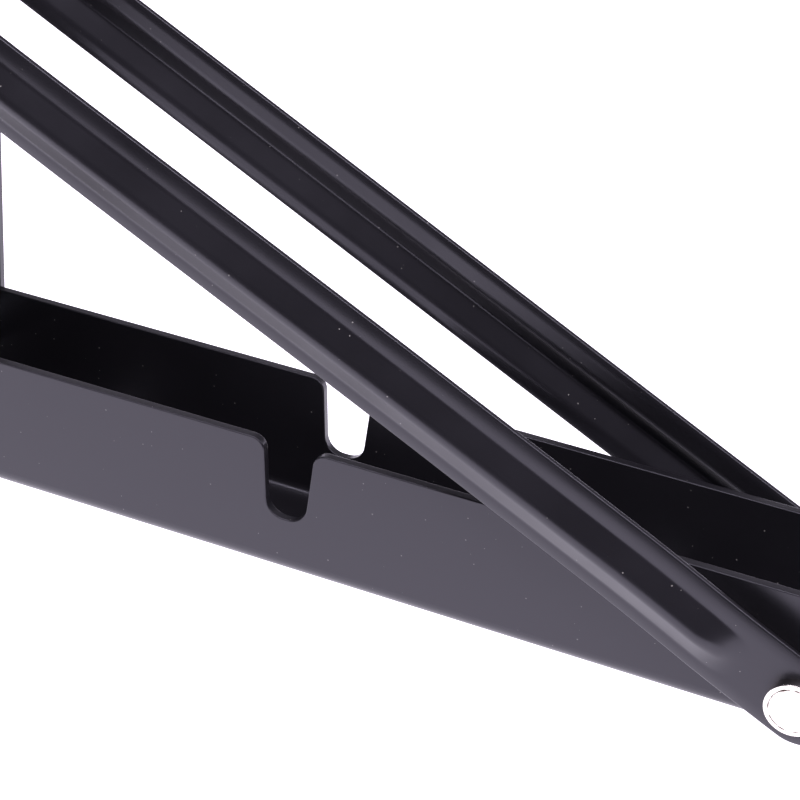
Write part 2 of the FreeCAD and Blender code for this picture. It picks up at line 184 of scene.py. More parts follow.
@dataclass(frozen=True)
class PowderCoat:
    """Satin black polyester powder, sprayed and baked on pressed steel.

    It gives the eye a deep black under a soft, broad sheen, a faint orange peel and a few specks of dust.
    """

    colour: str = "#1c1b1e"
    worn_colour: str = "#212024"
    dust_colour: str = "#9c9995"
    tint: str = "#f4f2ff"
    ior: float = 1.5
    roughness: float = 0.315
    roughness_spread: float = 0.035
    peel_mm: float = 1.8
    peel_height_mm: float = 0.0012
    grain_mm: float = 0.35
    grain_height_mm: float = 0.0003
    relief_detail: float = 1.0
    cloud_mm: float = 22.0
    cloud_detail: float = 3.0
    cloud_low: float = 0.3
    cloud_high: float = 0.7
    dust_cell_mm: float = 2.3
    dust_radius_mm: float = 0.17

    def material(self) -> bpy.types.Material:
        """Makes the finish as a node material.

        Returns:
            The material.
        """
        material, tree = new_material("satin_black_powder_coat")
        place = add_node(tree, "ShaderNodeTexCoord").outputs["Object"]
        cloud = add_node(
            tree,
            "ShaderNodeTexNoise",
            inputs={"Vector": place, "Scale": per_mm(self.cloud_mm), "Detail": self.cloud_detail},
        )
        tone = add_node(
            tree,
            "ShaderNodeMix",
            {"data_type": "RGBA"},
            {"Factor": cloud.outputs["Fac"], MIX_A: linear(self.colour), MIX_B: linear(self.worn_colour)},
        )
        dust = self.dust(tree, place)
        colour = add_node(
            tree,
            "ShaderNodeMix",
            {"data_type": "RGBA"},
            {"Factor": dust, MIX_A: tone.outputs[MIX_RESULT], MIX_B: linear(self.dust_colour)},
        )
        sheen = add_node(
            tree,
            "ShaderNodeMapRange",
            {"interpolation_type": "SMOOTHSTEP"},
            {
                "Value": cloud.outputs["Fac"],
                "From Min": self.cloud_low,
                "From Max": self.cloud_high,
                "To Min": self.roughness - self.roughness_spread,
                "To Max": self.roughness + self.roughness_spread,
            },
        )
        shader = add_node(
            tree,
            "ShaderNodeBsdfPrincipled",
            inputs={
                "Base Color": colour.outputs[MIX_RESULT],
                "Roughness": sheen.outputs["Result"],
                "IOR": self.ior,
                "Specular Tint": linear(self.tint),
                "Normal": self.relief(tree, place),
            },
        )
        add_node(tree, "ShaderNodeOutputMaterial", inputs={"Surface": shader.outputs["BSDF"]})
        return material

    def dust(self, tree: bpy.types.NodeTree, place: Socket) -> Socket:
        """Sparse specks of dust of uneven size, one at most in each cell.

        Args:
            tree: The material's tree.
            place: The coordinates.

        Returns:
            A mask that is 1 on a speck.
        """
        cells = add_node(
            tree, "ShaderNodeTexVoronoi", inputs={"Vector": place, "Scale": per_mm(self.dust_cell_mm)}
        )
        draw = add_node(tree, "ShaderNodeSeparateColor", inputs={"Color": cells.outputs["Color"]})
        reach = add_node(
            tree,
            "ShaderNodeMath",
            {"operation": "MULTIPLY"},
            {0: draw.outputs["Red"], 1: self.dust_radius_mm / self.dust_cell_mm},
        )
        speck = add_node(
            tree,
            "ShaderNodeMath",
            {"operation": "LESS_THAN"},
            {0: cells.outputs["Distance"], 1: reach.outputs["Value"]},
        )
        strength = add_node(
            tree,
            "ShaderNodeMath",
            {"operation": "MULTIPLY"},
            {0: speck.outputs["Value"], 1: draw.outputs["Green"]},
        )
        return strength.outputs["Value"]

    def relief(self, tree: bpy.types.NodeTree, place: Socket) -> Socket:
        """Orange peel, with a finer grain that is drawn coarser than it is so that it shows.

        Args:
            tree: The material's tree.
            place: The coordinates.

        Returns:
            The bumped normal.
        """
        normal = None
        for size_mm, height_mm in (
            (self.peel_mm, self.peel_height_mm),
            (self.grain_mm, self.grain_height_mm),
        ):
            noise = add_node(
                tree,
                "ShaderNodeTexNoise",
                inputs={"Vector": place, "Scale": per_mm(size_mm), "Detail": self.relief_detail},
            )
            inputs: dict[str, Any] = {"Height": noise.outputs["Fac"], "Distance": height_mm * MM}
            if normal:
                inputs["Normal"] = normal
            normal = add_node(tree, "ShaderNodeBump", inputs=inputs).outputs["Normal"]
        return normal


@dataclass(frozen=True)
class NickelPlate:
    """Bright nickel on a cold-headed steel rivet.

    It gives the eye a warm white mirror, softened by the header's texture, with dull pits where the flat of
    the head turns down.
    """

    colour: str = "#e9e5dd"
    pit_colour: str = "#4a3b34"
    roughness: float = 0.16
    pit_roughness: float = 0.5
    texture_mm: float = 0.9
    texture_height_mm: float = 0.004
    texture_detail: float = 2.0
    pit_mm: float = 1.8
    pit_detail: float = 5.0
    shoulder: float = 0.825
    shoulder_width: float = 0.1
    pit_share: float = 0.63
    pit_edge: float = 0.1

    def material(self) -> bpy.types.Material:
        """Makes the finish as a node material.

        Returns:
            The material.
        """
        material, tree = new_material("bright_nickel_plate")
        place = add_node(tree, "ShaderNodeTexCoord").outputs["Object"]
        ring = add_node(tree, "ShaderNodeAttribute", {"attribute_name": RivetShape.RING})
        away = add_node(
            tree, "ShaderNodeMath", {"operation": "SUBTRACT"}, {0: ring.outputs["Fac"], 1: self.shoulder}
        )
        span = add_node(tree, "ShaderNodeMath", {"operation": "ABSOLUTE"}, {0: away.outputs["Value"]})
        near = add_node(
            tree,
            "ShaderNodeMapRange",
            inputs={
                "Value": span.outputs["Value"],
                "From Max": self.shoulder_width,
                "To Min": 1.0,
                "To Max": 0.0,
            },
        )
        grit = add_node(
            tree,
            "ShaderNodeTexNoise",
            inputs={"Vector": place, "Scale": per_mm(self.pit_mm), "Detail": self.pit_detail},
        )
        chipped = add_node(
            tree,
            "ShaderNodeMath",
            {"operation": "MULTIPLY"},
            {0: near.outputs["Result"], 1: grit.outputs["Fac"]},
        )
        pit = add_node(
            tree,
            "ShaderNodeMapRange",
            inputs={
                "Value": chipped.outputs["Value"],
                "From Min": 1.0 - self.pit_share,
                "From Max": 1.0 - self.pit_share + self.pit_edge,
            },
        )
        colour = add_node(
            tree,
            "ShaderNodeMix",
            {"data_type": "RGBA"},
            {"Factor": pit.outputs["Result"], MIX_A: linear(self.colour), MIX_B: linear(self.pit_colour)},
        )
        rough = add_node(
            tree,
            "ShaderNodeMapRange",
            inputs={"Value": pit.outputs["Result"], "To Min": self.roughness, "To Max": self.pit_roughness},
        )
        dimple = add_node(
            tree,
            "ShaderNodeTexNoise",
            inputs={"Vector": place, "Scale": per_mm(self.texture_mm), "Detail": self.texture_detail},
        )
        bump = add_node(
            tree,
            "ShaderNodeBump",
            inputs={"Height": dimple.outputs["Fac"], "Distance": self.texture_height_mm * MM},
        )
        shader = add_node(
            tree,
            "ShaderNodeBsdfPrincipled",
            inputs={
                "Base Color": colour.outputs[MIX_RESULT],
                "Metallic": 1.0,
                "Roughness": rough.outputs["Result"],
                "Normal": bump.outputs["Normal"],
            },
        )
        add_node(tree, "ShaderNodeOutputMaterial", inputs={"Surface": shader.outputs["BSDF"]})
        return material


@dataclass(frozen=True)
class WorkedSteel:
    """Bare or plated steel with the lines that turning or rolling leaves.

    It gives the eye a grey metal whose highlight is drawn out across fine lines, with cloudy patches.
    """

    name: str
    colour: str
    dull_colour: str
    roughness: float
    line_mm: tuple[float, float, float]
    line_height_mm: float
    line_detail: float = 2.0
    cloud_mm: float = 6.0
    cloud_detail: float = 4.0
    roughness_spread: float = 0.08

    def material(self) -> bpy.types.Material:
        """Makes the finish as a node material.

        Returns:
            The material.
        """
        material, tree = new_material(self.name)
        place = add_node(tree, "ShaderNodeTexCoord").outputs["Object"]
        cloud = add_node(
            tree,
            "ShaderNodeTexNoise",
            inputs={"Vector": place, "Scale": per_mm(self.cloud_mm), "Detail": self.cloud_detail},
        )
        stretched = add_node(
            tree,
            "ShaderNodeMapping",
            inputs={"Vector": place, "Scale": [per_mm(size) for size in self.line_mm]},
        )
        lines = add_node(
            tree,
            "ShaderNodeTexNoise",
            inputs={"Vector": stretched.outputs["Vector"], "Scale": 1.0, "Detail": self.line_detail},
        )
        colour = add_node(
            tree,
            "ShaderNodeMix",
            {"data_type": "RGBA"},
            {"Factor": cloud.outputs["Fac"], MIX_A: linear(self.colour), MIX_B: linear(self.dull_colour)},
        )
        rough = add_node(
            tree,
            "ShaderNodeMapRange",
            inputs={
                "Value": lines.outputs["Fac"],
                "To Min": self.roughness - self.roughness_spread,
                "To Max": self.roughness + self.roughness_spread,
            },
        )
        bump = add_node(
            tree,
            "ShaderNodeBump",
            inputs={"Height": lines.outputs["Fac"], "Distance": self.line_height_mm * MM},
        )
        shader = add_node(
            tree,
            "ShaderNodeBsdfPrincipled",
            inputs={
                "Base Color": colour.outputs[MIX_RESULT],
                "Metallic": 1.0,
                "Roughness": rough.outputs["Result"],
                "Normal": bump.outputs["Normal"],
            },
        )
        add_node(tree, "ShaderNodeOutputMaterial", inputs={"Surface": shader.outputs["BSDF"]})
        return material


POWDER_COAT = PowderCoat()
NICKEL_PLATE = NickelPlate()
ZINC_PLATE = WorkedSteel(
    name="turned_zinc_plated_steel",
    colour="#b9bcc0",
    dull_colour="#8e9296",
    roughness=0.34,
    line_mm=(9.0, 0.25, 9.0),
    line_height_mm=0.004,
)
SPRING_STEEL = WorkedSteel(
    name="rolled_spring_steel",
    colour="#8b8d92",
    dull_colour="#65676c",
    roughness=0.3,
    line_mm=(14.0, 0.3, 14.0),
    line_height_mm=0.002,
)


class RivetShape:
    """The node tree that turns a rivet from its half section and sets one on each point of a mesh.

    Heights count from the end of the shank, or from its middle where the rivet has a head at both ends.
    """

    RING = "ring"
    AXIS = "axis"
    SIZES = (
        "Face Radius",
        "Head Radius",
        "Shank Radius",
        "Top Height",
        "Side Height",
        "Seat Height",
        "Edge Round",
    )
    CORNERS = (
        (None, "Top Height"),
        ("Face Radius", "Top Height"),
        ("Head Radius", "Side Height"),
        ("Head Radius", "Seat Height"),
        ("Shank Radius", "Seat Height"),
        ("Shank Radius", None),
        (None, None),
    )
    ROUNDED = (1, 2)
    ROUND_STEPS = 6
    SEGMENTS = 96
    PATH_RADIUS = 1e-6
    WELD = 1e-5
    SHARP_DEGREES = 40.0

    def __init__(self) -> None:
        """Builds the tree."""
        self.tree = bpy.data.node_groups.new("turned_rivet", "GeometryNodeTree")
        interface = self.tree.interface
        interface.new_socket("Geometry", in_out="INPUT", socket_type="NodeSocketGeometry")
        for name in self.SIZES:
            interface.new_socket(name, in_out="INPUT", socket_type="NodeSocketFloat")
        interface.new_socket("Two Heads", in_out="INPUT", socket_type="NodeSocketBool")
        interface.new_socket("Material", in_out="INPUT", socket_type="NodeSocketMaterial")
        interface.new_socket("Geometry", in_out="OUTPUT", socket_type="NodeSocketGeometry")
        self.sizes = add_node(self.tree, "NodeGroupInput").outputs
        self.place(self.shade(self.double(self.turn(self.section()))))

    def section(self) -> Socket:
        """Draws half the section as a curve, left open at the middle of the shank if it is to be doubled.

        Returns:
            The curve, with the edges of the bevel rounded.
        """
        tree, size = self.tree, self.sizes
        count = len(self.CORNERS)
        used = add_node(
            tree,
            "GeometryNodeSwitch",
            {"input_type": "INT"},
            {"Switch": size["Two Heads"], "False": count, "True": count - 1},
        )
        index = add_node(tree, "GeometryNodeInputIndex").outputs["Index"]
        corner = add_node(tree, "GeometryNodeIndexSwitch", {"data_type": "VECTOR"}, {"Index": index})
        bend = add_node(tree, "GeometryNodeIndexSwitch", {"data_type": "FLOAT"}, {"Index": index})
        for switch in (corner, bend):
            while len(switch.index_switch_items) < count:
                switch.index_switch_items.new()
        for number, (radius, height) in enumerate(self.CORNERS):
            given = {axis: size[name] for axis, name in (("X", radius), ("Y", height)) if name}
            point = add_node(tree, "ShaderNodeCombineXYZ", inputs=given)
            tree.links.new(point.outputs["Vector"], corner.inputs[number + 1])
        for number in self.ROUNDED:
            tree.links.new(size["Edge Round"], bend.inputs[number + 1])
        line = add_node(tree, "GeometryNodeMeshLine", inputs={"Count": used.outputs["Output"]})
        curve = add_node(tree, "GeometryNodeMeshToCurve", inputs={"Mesh": line.outputs["Mesh"]})
        drawn = add_node(
            tree,
            "GeometryNodeSetPosition",
            inputs={"Geometry": curve.outputs["Curve"], "Position": corner.outputs["Output"]},
        )
        rounded = add_node(
            tree,
            "GeometryNodeFilletCurve",
            {"mode": "POLY"},
            {
                "Curve": drawn.outputs["Geometry"],
                "Count": self.ROUND_STEPS,
                "Radius": bend.outputs["Output"],
                "Limit Radius": True,
            },
        )
        return rounded.outputs["Curve"]

    def turn(self, section: Socket) -> Socket:
        """Sweeps the half section round a path too small to see, and closes the poles.

        Args:
            section: The half section.

        Returns:
            The rivet's mesh, with the share of the head's radius kept on each point.
        """
        tree = self.tree
        path = add_node(
            tree,
            "GeometryNodeCurvePrimitiveCircle",
            inputs={"Resolution": self.SEGMENTS, "Radius": self.PATH_RADIUS},
        )
        swept = add_node(
            tree,
            "GeometryNodeCurveToMesh",
            inputs={"Curve": path.outputs["Curve"], "Profile Curve": section},
        )
        outward = add_node(tree, "GeometryNodeFlipFaces", inputs={"Mesh": swept.outputs["Mesh"]})
        upright = add_node(
            tree,
            "GeometryNodeTransform",
            inputs={"Geometry": outward.outputs["Mesh"], "Rotation": (math.pi, 0.0, 0.0)},
        )
        closed = add_node(
            tree,
            "GeometryNodeMergeByDistance",
            inputs={"Geometry": upright.outputs["Geometry"], "Distance": self.WELD},
        )
        flat = add_node(
            tree,
            "ShaderNodeVectorMath",
            {"operation": "MULTIPLY"},
            {0: add_node(tree, "GeometryNodeInputPosition").outputs["Position"], 1: (1.0, 1.0, 0.0)},
        )
        radius = add_node(tree, "ShaderNodeVectorMath", {"operation": "LENGTH"}, {0: flat.outputs["Vector"]})
        share = add_node(
            tree,
            "ShaderNodeMath",
            {"operation": "DIVIDE"},
            {0: radius.outputs["Value"], 1: self.sizes["Head Radius"]},
        )
        ringed = add_node(
            tree,
            "GeometryNodeStoreNamedAttribute",
            {"data_type": "FLOAT", "domain": "POINT"},
            {"Geometry": closed.outputs["Geometry"], "Name": self.RING, "Value": share.outputs["Value"]},
        )
        return ringed.outputs["Geometry"]

    def double(self, half: Socket) -> Socket:
        """Mirrors a rivet that has two heads at the middle of its shank.

        Args:
            half: The rivet's mesh, open there if it has two heads.

        Returns:
            The whole rivet.
        """
        tree = self.tree
        mirrored = add_node(
            tree, "GeometryNodeTransform", inputs={"Geometry": half, "Scale": (1.0, 1.0, -1.0)}
        )
        outward = add_node(tree, "GeometryNodeFlipFaces", inputs={"Mesh": mirrored.outputs["Geometry"]})
        both = add_node(tree, "GeometryNodeJoinGeometry", inputs={"Geometry": outward.outputs["Mesh"]})
        tree.links.new(half, both.inputs["Geometry"])
        welded = add_node(
            tree,
            "GeometryNodeMergeByDistance",
            inputs={"Geometry": both.outputs["Geometry"], "Distance": self.WELD},
        )
        whole = add_node(
            tree,
            "GeometryNodeSwitch",
            {"input_type": "GEOMETRY"},
            {"Switch": self.sizes["Two Heads"], "False": half, "True": welded.outputs["Geometry"]},
        )
        return whole.outputs["Output"]

    def shade(self, rivet: Socket) -> Socket:
        """Smooths the rivet and keeps its corners sharp.

        Args:
            rivet: The rivet's mesh.

        Returns:
            The same mesh, shaded.
        """
        tree = self.tree
        bend = add_node(tree, "GeometryNodeInputMeshEdgeAngle")
        sharp = add_node(
            tree,
            "FunctionNodeCompare",
            {"data_type": "FLOAT", "operation": "GREATER_THAN"},
            {"A": bend.outputs["Unsigned Angle"], "B": math.radians(self.SHARP_DEGREES)},
        )
        softened = add_node(tree, "GeometryNodeSetShadeSmooth", {"domain": "FACE"}, {"Geometry": rivet})
        creased = add_node(
            tree,
            "GeometryNodeSetShadeSmooth",
            {"domain": "EDGE"},
            {
                "Geometry": softened.outputs["Geometry"],
                "Selection": sharp.outputs["Result"],
                "Shade Smooth": False,
            },
        )
        return creased.outputs["Geometry"]

    def place(self, rivet: Socket) -> None:
        """Sets a rivet on each point along that point's axis, and makes them one mesh.

        Args:
            rivet: The rivet's mesh.
        """
        tree = self.tree
        axis = add_node(
            tree, "GeometryNodeInputNamedAttribute", {"data_type": "FLOAT_VECTOR"}, {"Name": self.AXIS}
        )
        turned = add_node(
            tree, "FunctionNodeAlignRotationToVector", {"axis": "Z"}, {"Vector": axis.outputs["Attribute"]}
        )
        placed = add_node(
            tree,
            "GeometryNodeInstanceOnPoints",
            inputs={
                "Points": self.sizes["Geometry"],
                "Instance": rivet,
                "Rotation": turned.outputs["Rotation"],
            },
        )
        whole = add_node(
            tree, "GeometryNodeRealizeInstances", inputs={"Geometry": placed.outputs["Instances"]}
        )
        coated = add_node(
            tree,
            "GeometryNodeSetMaterial",
            inputs={"Geometry": whole.outputs["Geometry"], "Material": self.sizes["Material"]},
        )
        add_node(tree, "NodeGroupOutput", inputs={"Geometry": coated.outputs["Geometry"]})

    def make(
        self,
        name: str,
        seats: Sequence[tuple[Vector, Vector]],
        sizes: Sequence[float],
        two_heads: bool,
        material: bpy.types.Material,
    ) -> bpy.types.Object:
        """Makes the rivets of one body as a plain mesh.

        Args:
            name: The piece's name.
            seats: For each rivet the end of its shank, or its middle if it has two heads, and its axis.
            sizes: The tree's sizes, in the order of SIZES.
            two_heads: Whether each rivet has a head at both ends.
            material: The rivets' material.

        Returns:
            The new object, with its place in its mesh.
        """
        mesh = bpy.data.meshes.new(f"{name}_seats")
        mesh.from_pydata([point for point, _ in seats], [], [])
        axes = mesh.attributes.new(self.AXIS, "FLOAT_VECTOR", "POINT")
        for entry, (_, axis) in zip(axes.data, seats):
            entry.vector = axis
        piece = bpy.data.objects.new(name, mesh)
        bpy.context.scene.collection.objects.link(piece)
        modifier = piece.modifiers.new("turned_rivet", "NODES")
        modifier.node_group = self.tree
        values = dict(zip(self.SIZES, sizes)) | {"Two Heads": two_heads, "Material": material}
        for item in self.tree.interface.items_tree:
            if item.in_out == "INPUT" and item.name in values:
                modifier[item.identifier] = values[item.name]
        graph = bpy.context.evaluated_depsgraph_get()
        piece.data = bpy.data.meshes.new_from_object(piece.evaluated_get(graph))
        piece.data.name = name
        piece.modifiers.clear()
        return piece


@dataclass
class Assembly:
    """A sub-assembly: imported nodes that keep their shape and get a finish."""

    body: Body
    slots: dict[str, Slot]

    def dress(self, finishes: Finishes) -> None:
        """Gives each node its finish.

        Args:
            finishes: The material of each slot.
        """
        for node, slot in self.slots.items():
            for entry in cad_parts[node].material_slots:
                entry.material = finishes[slot]
            LOG.info("%s on %s: %s", node, self.body.value, finishes[slot].name)


@dataclass
class Rivets:
    """The rivets of one body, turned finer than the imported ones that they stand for."""

    name: str
    body: Body
    slot: Slot
    nodes: tuple[str, ...]
    axis: Vector
    shank_radius: float
    head_radius: float = 5.7 * MM
    head_height: float = 2.0 * MM
    head_lift: float = 0.0
    bevel_width: float = 1.0 * MM
    bevel_drop: float = 0.15 * MM
    edge_round: float = 0.15 * MM
    two_heads: bool = False
    pitch: Vector = field(default_factory=lambda: Vector((0, 0, 0)))

    def seats(self) -> tuple[list[tuple[Vector, Vector]], float]:
        """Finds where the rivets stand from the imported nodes' boxes.

        Returns:
            Each rivet's point and axis, and its height above that point.
        """
        found = []
        height = 0.0
        for node in self.nodes:
            low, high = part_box(node)
            middle = (low + high) / 2
            reach = abs((high - low).dot(self.axis))
            if self.two_heads:
                found.append((middle, self.axis))
                height = reach / 2 + self.head_lift
                continue
            outward = self.axis if self.axis.dot(middle) > 0 else -self.axis
            steps = (-0.5, 0.5) if self.pitch.length else (0.0,)
            found += [(middle - outward * (reach / 2) + self.pitch * step, outward) for step in steps]
            height = reach + self.head_lift
        return found, height

    def build(self, shape: RivetShape, finishes: Finishes) -> bpy.types.Object:
        """Makes the rivets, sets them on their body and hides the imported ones.

        Args:
            shape: The rivet's node tree.
            finishes: The material of each slot.

        Returns:
            The new piece.
        """
        seats, height = self.seats()
        sizes = (
            self.head_radius - self.bevel_width,
            self.head_radius,
            self.shank_radius,
            height,
            height - self.bevel_drop,
            height - self.head_height - self.head_lift,
            self.edge_round,
        )
        piece = shape.make(self.name, seats, sizes, self.two_heads, finishes[self.slot])
        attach(piece, self.body.value)
        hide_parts(*self.nodes)
        LOG.info("%s on %s: %d of them", self.name, self.body.value, len(seats))
        return piece


@dataclass
class PressedStrip:
    """One brace strip: blanked sheet with rolled edges and a rib that dies out softly before each pivot.

    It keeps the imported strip's form, softens the rib's ends, reaches a little farther past the pin, and can
    bow slightly inwards. A place on it is given by s along it from the pivot, w across it, and out from its
    inner face.
    """

    name: str
    node: str
    bow: float
    body: Body = Body.BRACE
    slot: Slot = Slot.BLACK_COAT
    pivot_node: str = "pivot_rivet"
    pin_node: str = "slide_rivet_right"
    half_width: float = 9.0 * MM
    pin_end_reach: float = 1.3 * MM
    sheet: float = 2.0 * MM
    edge_round: float = 0.5 * MM
    edge_steps: int = 6
    roll_angle: float = math.radians(18.0)
    outer_roll: float = 1.7 * MM
    outer_roll_radius: float = 10.5 * MM
    inner_roll: float = 1.2 * MM
    inner_roll_radius: float = 5.0 * MM
    rib_half: float = 5.25 * MM
    rib_height: float = 2.565 * MM
    rib_drop: float = 0.6 * MM
    rib_angle: float = math.radians(30.0)
    rib_crown_radius: float = 3.0 * MM
    rib_base_radius: float = 1.5 * MM
    rib_margin: float = 11.0 * MM
    rib_stretch: float = 1.25
    rib_fade: float = 12.0 * MM
    bow_start: float = 40.0 * MM
    bow_rise: float = 110.0 * MM
    bow_end: float = 12.0 * MM
    bow_fall: float = 30.0 * MM
    pivot_hole_radius: float = 2.55 * MM
    pin_hole_radius: float = 3.0 * MM
    weld: float = 0.0005 * MM
    fine_step: float = 0.5 * MM
    coarse_step: float = 6.0 * MM
    across_step: float = 0.2 * MM
    end_steps: int = 28
    hole_segments: int = 64
    sharp_angle: float = math.radians(40.0)

    def __post_init__(self) -> None:
        """Finds the strip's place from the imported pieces."""
        pivot, pin = (sum(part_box(node), Vector()) / 2 for node in (self.pivot_node, self.pin_node))
        low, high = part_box(self.node)
        self.side = math.copysign(1.0, low.y)
        self.inside = min(abs(low.y), abs(high.y))
        self.pivot = Vector((pivot.x, 0.0, pivot.z))
        run = Vector((pin.x, 0.0, pin.z)) - self.pivot
        self.length = run.length
        self.along = run.normalized()
        self.up = Vector((-self.along.z, 0.0, self.along.x))

    def point(self, s: float, w: float, out: float) -> Vector:
        """The place in the frame of a place on the strip."""
        across = Vector((0.0, self.side * (self.inside + out - self.inward(s)), 0.0))
        return self.pivot + self.along * s + self.up * w + across

    def inward(self, s: float) -> float:
        """How far the strip has bowed inwards.

        Args:
            s: The place along the strip.

        Returns:
            The distance, which eases to nothing before each pivot.
        """
        rise = smooth((s - self.bow_start) / self.bow_rise)
        return self.bow * rise * smooth((self.length - self.bow_end - s) / self.bow_fall)

    def rib(self, s: float, w: float, depth: float) -> float:
        """The rib's height over the flat sheet.

        Args:
            s: The place along the strip.
            w: The place across it.
            depth: The depth of the surface below the outer one.

        Returns:
            The height there.
        """
        from_end = min(s, self.length - s) - self.rib_margin
        beyond = max(self.rib_half - from_end / self.rib_stretch, 0.0)
        off = math.hypot(w + self.rib_drop, beyond)
        run = self.rib_half - depth * math.tan(self.rib_angle / 2) - off
        height = eased_turn(run, self.rib_angle, self.rib_base_radius + depth)
        crown = self.rib_crown_radius - depth
        if off < crown * math.sin(self.rib_angle):
            height = self.rib_height - crown + math.sqrt(crown ** 2 - off ** 2)
        return height * smooth(from_end / self.rib_fade)

    def face(self, reach: float, outer: bool) -> float:
        """How far out the flat sheet's face lies, with its edge rolled.

        Args:
            reach: The distance from the strip's middle line.
            outer: Whether it is the outer face.

        Returns:
            The distance out from the inner face.
        """
        if outer:
            run = reach - self.half_width + self.outer_roll
            return self.sheet - eased_turn(run, self.roll_angle, self.outer_roll_radius)
        run = reach - self.half_width + self.inner_roll
        return eased_turn(run, self.roll_angle, self.inner_roll_radius)

    def section(self) -> list[tuple[float, float, float | None]]:
        """The section from the middle line along the outer face, round the edge and back along the inner one.

        Returns:
            For each point its reach from the middle line, its distance out, and the depth at which the rib
            lifts it, or None on the edge.
        """
        turn = self.edge_round
        last = self.half_width - turn + turn * math.sin(self.roll_angle)
        count = round(last / self.across_step)
        reaches = [last * step / count for step in range(count + 1)]
        outer = [(reach, self.face(reach, True), 0.0) for reach in reaches]
        inner = [(reach, self.face(reach, False), self.sheet) for reach in reversed(reaches)]
        top = self.face(last, True) - turn * math.cos(self.roll_angle)
        bottom = self.face(last, False) + turn * math.cos(self.roll_angle)
        swing = math.pi / 2 - self.roll_angle
        turns = [self.roll_angle + swing * step / self.edge_steps for step in range(1, self.edge_steps + 1)]
        arc = [(self.half_width - turn + turn * math.sin(angle), turn * math.cos(angle)) for angle in turns]
        outer += [(reach, top + rise, None) for reach, rise in arc]
        return outer + [(reach, bottom - rise, None) for reach, rise in reversed(arc)] + inner

    def stations(self) -> list[float]:
        """Places along the strip, close together where the rib dies out.

        Returns:
            The places, from the pivot to the pin.
        """
        soft = self.rib_margin + self.rib_fade + self.coarse_step
        places = [0.0, self.rib_margin / 2]
        place = self.rib_margin - self.fine_step
        while place < self.length / 2:
            places.append(place)
            place += self.fine_step if place < soft else self.coarse_step
        return places + [self.length / 2] + [self.length - place for place in reversed(places)]

    def shell(self) -> bpy.types.Mesh:
        """Makes the strip without its holes.

        Returns:
            A closed mesh.
        """
        stations, section = self.stations(), self.section()
        arc = [math.pi * step / self.end_steps for step in range(1, self.end_steps)]
        loop = [(s, 0.0, 1.0) for s in stations]
        loop += [(self.length + self.pin_end_reach, math.sin(angle), math.cos(angle)) for angle in arc]
        loop += [(s, 0.0, -1.0) for s in reversed(stations)]
        loop += [(0.0, -math.sin(angle), -math.cos(angle)) for angle in arc]
        points = []
        for start, ahead, across in loop:
            for reach, out, depth in section:
                s, w = start + reach * ahead, reach * across
                points.append(self.point(s, w, out if depth is None else out + self.rib(s, w, depth)))
        rows, columns = len(loop), len(section)
        faces = []
        for row in range(rows):
            here, after = row * columns, (row + 1) % rows * columns
            faces += [(here + k, after + k, after + k + 1, here + k + 1) for k in range(columns - 1)]
        mesh = bpy.data.meshes.new(self.name)
        mesh.from_pydata(points, [], faces)
        work = bmesh.new()
        work.from_mesh(mesh)
        bmesh.ops.remove_doubles(work, verts=work.verts, dist=self.weld)
        bmesh.ops.dissolve_degenerate(work, edges=work.edges, dist=self.weld)
        bmesh.ops.recalc_face_normals(work, faces=work.faces)
        work.to_mesh(mesh)
        work.free()
        return mesh

    def drill(self, piece: bpy.types.Object) -> None:
        """Cuts the two rivet holes.

        Args:
            piece: The strip, whose mesh is replaced.
        """
        mesh = bpy.data.meshes.new(f"{self.name}_drills")
        work = bmesh.new()
        for s, radius in ((0.0, self.pivot_hole_radius), (self.length, self.pin_hole_radius)):
            middle = self.point(s, 0.0, self.sheet / 2)
            bmesh.ops.create_cone(
                work,
                cap_ends=True,
                segments=self.hole_segments,
                radius1=radius,
                radius2=radius,
                depth=self.sheet * 2,
                matrix=Matrix.Translation(middle) @ Matrix.Rotation(math.pi / 2, 4, "X"),
            )
        work.to_mesh(mesh)
        work.free()
        drills = bpy.data.objects.new(mesh.name, mesh)
        bpy.context.scene.collection.objects.link(drills)
        cut = piece.modifiers.new("holes", "BOOLEAN")
        cut.operation = "DIFFERENCE"
        cut.object = drills
        graph = bpy.context.evaluated_depsgraph_get()
        piece.data = bpy.data.meshes.new_from_object(piece.evaluated_get(graph))
        piece.data.name = self.name
        piece.modifiers.clear()
        bpy.data.objects.remove(drills)

    def build(self, finishes: Finishes) -> bpy.types.Object:
        """Makes the strip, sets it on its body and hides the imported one.

        Args:
            finishes: The material of each slot.

        Returns:
            The new piece.
        """
        piece = bpy.data.objects.new(self.name, self.shell())
        bpy.context.scene.collection.objects.link(piece)
        self.drill(piece)
        piece.data.materials.clear()
        piece.data.materials.append(finishes[self.slot])
        piece.data.shade_smooth()
        piece.data.set_sharp_from_angle(angle=self.sharp_angle)
        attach(piece, self.body.value)
        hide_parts(self.node)
        LOG.info("%s on %s: %d faces", self.name, self.body.value, len(piece.data.polygons))
        return piece


